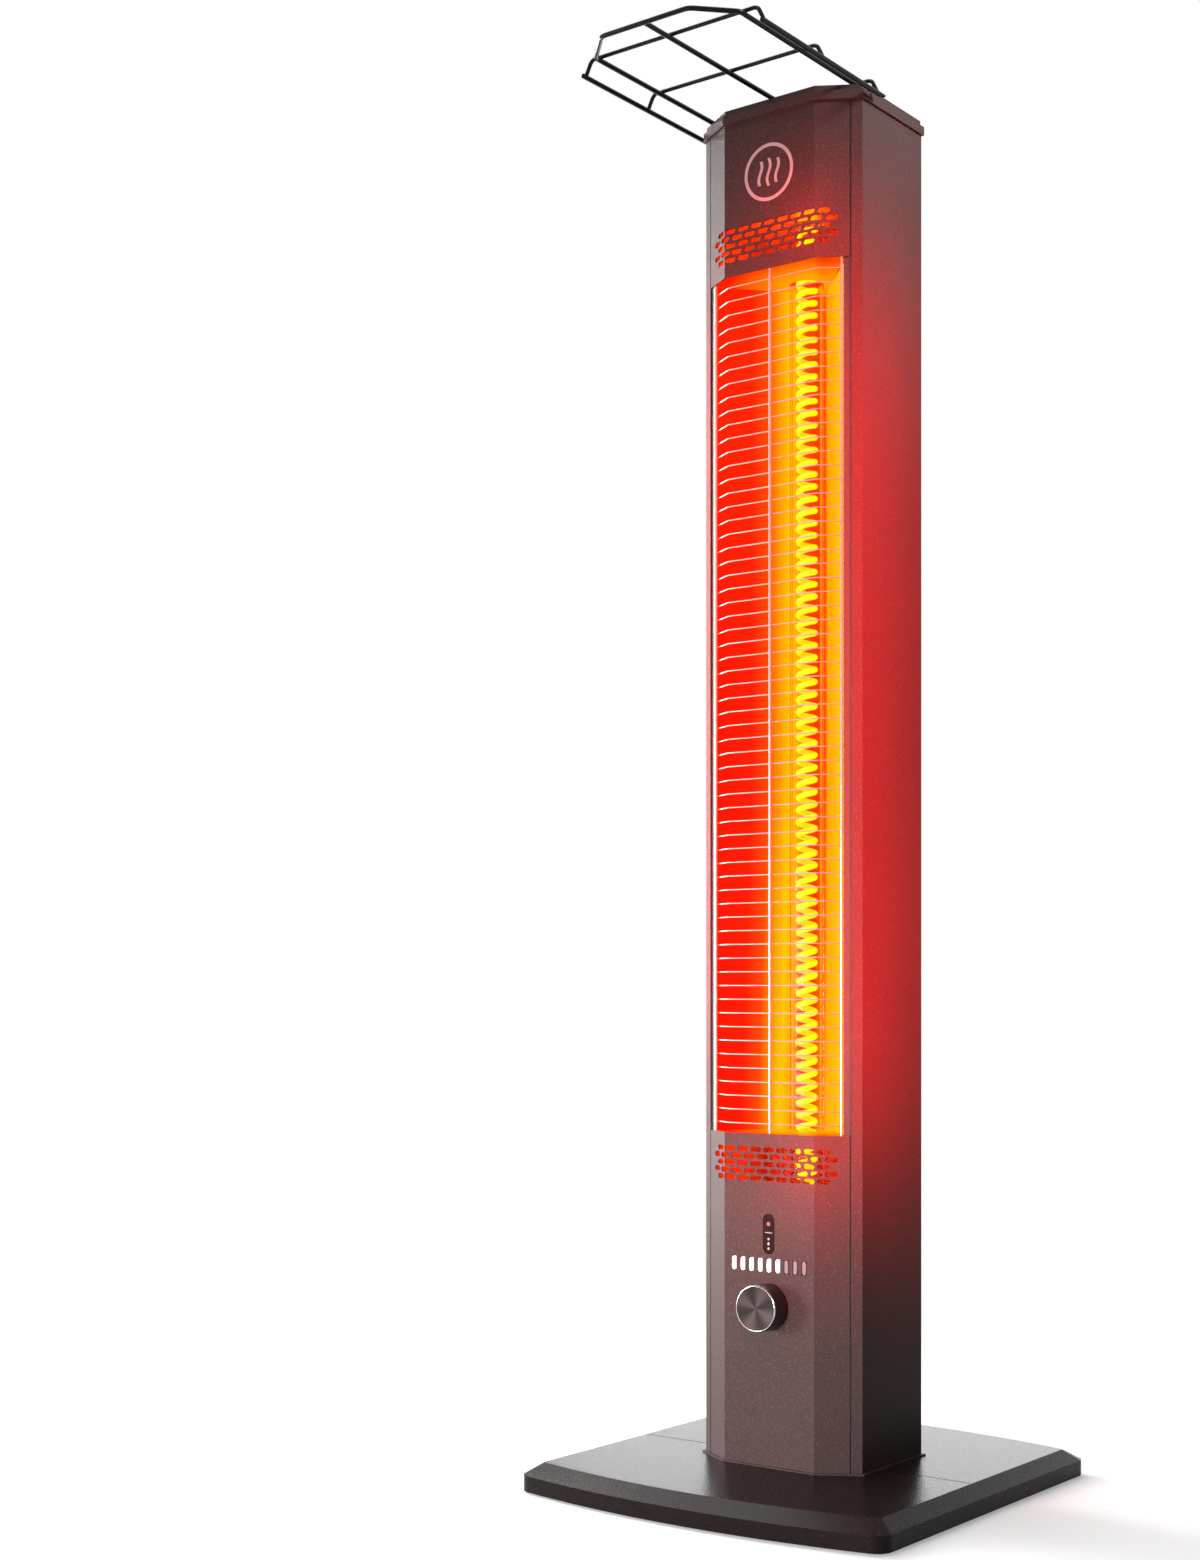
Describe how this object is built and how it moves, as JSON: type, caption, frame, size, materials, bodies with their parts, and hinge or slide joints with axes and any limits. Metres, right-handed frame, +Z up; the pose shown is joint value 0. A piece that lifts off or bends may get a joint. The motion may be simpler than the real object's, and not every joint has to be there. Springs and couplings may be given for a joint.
{
  "type": "infrared patio heater",
  "caption": "Slim floor-standing infrared patio heater: faceted bronze column, glowing coil behind a wire grille, push-and-turn knob, weighted base and a wire rack on top.",
  "frame": {"origin": "on the floor under the middle of the column", "axes": "+X to the right of someone who faces the grille, +Y towards the back, +Z up"},
  "size_m": [0.29, 0.3548, 0.9665],
  "materials": {
    "bronze_coat": "satin",
    "black_wire": "gloss",
    "zinc_steel": "satin",
    "black_steel": "matte",
    "iron": "matte",
    "foam": "matte",
    "grille_steel": "polished",
    "bright_aluminium": "polished",
    "quartz": "clear",
    "ceramic": "matte",
    "glowing_wire": "matte",
    "dark_lens": "gloss",
    "clear_guide": "gloss",
    "knob_black": "satin",
    "knob_bright": "polished",
    "knob_brushed": "brushed",
    "circuit_board": "satin",
    "black_plastic": "satin",
    "white_plastic": "satin"
  },
  "bodies": {
    "heater": {"base_front_half": "bronze_coat", "base_rear_half": "bronze_coat", "foot_trim": "bronze_coat", "left_side_panel": "bronze_coat", "right_side_panel": "bronze_coat", "rear_panel": "bronze_coat", "upper_front_panel": "bronze_coat", "lower_front_panel": "bronze_coat", "cap_rim": "bronze_coat", "cap_cover": "bronze_coat", "rack_outline": "black_wire", "rack_centre_wire": "black_wire", "rack_front_cross_wire": "black_wire", "rack_middle_cross_wire": "black_wire", "rack_rear_cross_wire": "black_wire", "rack_left_rail": "black_wire", "rack_right_rail": "black_wire", "rack_clamp_bar": "black_wire", "base_front_plate": "zinc_steel", "base_rear_plate": "zinc_steel", "foot_bracket": "zinc_steel", "encoder_nut": "zinc_steel", "heat_shield": "zinc_steel", "tube_carrier": "zinc_steel", "left_joint_strip": "black_steel", "right_joint_strip": "black_steel", "front_ballast": "iron", "rear_ballast": "iron", "base_pad": "foam", "grille_wires": "grille_steel", "grille_uprights": "grille_steel", "reflector": "bright_aluminium", "upper_end_plate": "bright_aluminium", "lower_end_plate": "bright_aluminium", "quartz_tube": "quartz", "upper_tube_holder": "ceramic", "lower_tube_holder": "ceramic", "heating_coil": "glowing_wire", "display_lens": "dark_lens", "lamp_guide": "clear_guide", "control_board": "circuit_board", "encoder_case": "black_plastic", "power_module": "black_plastic", "tilt_switch": "black_plastic", "cable_gland": "black_plastic", "gland_nut": "black_plastic", "terminal_block": "white_plastic"},
    "push_carrier": {"encoder_plunger": "black_plastic"},
    "knob": {"encoder_shaft": "zinc_steel", "knob_shell": "knob_black", "knob_rim": "knob_bright", "knob_face_disc": "knob_brushed"}
  },
  "joints": [
    {"name": "knob_push", "type": "slide", "parent": "heater", "child": "push_carrier", "axis": [0, 1, 0], "range_m": [0, 0.0015], "stiffness_N_per_m": 1500},
    {"name": "knob_turn", "type": "hinge", "parent": "push_carrier", "child": "knob", "pos_m": [0, -0.0575, 0.1308], "axis": [0, 1, 0], "continuous": true}
  ]
}
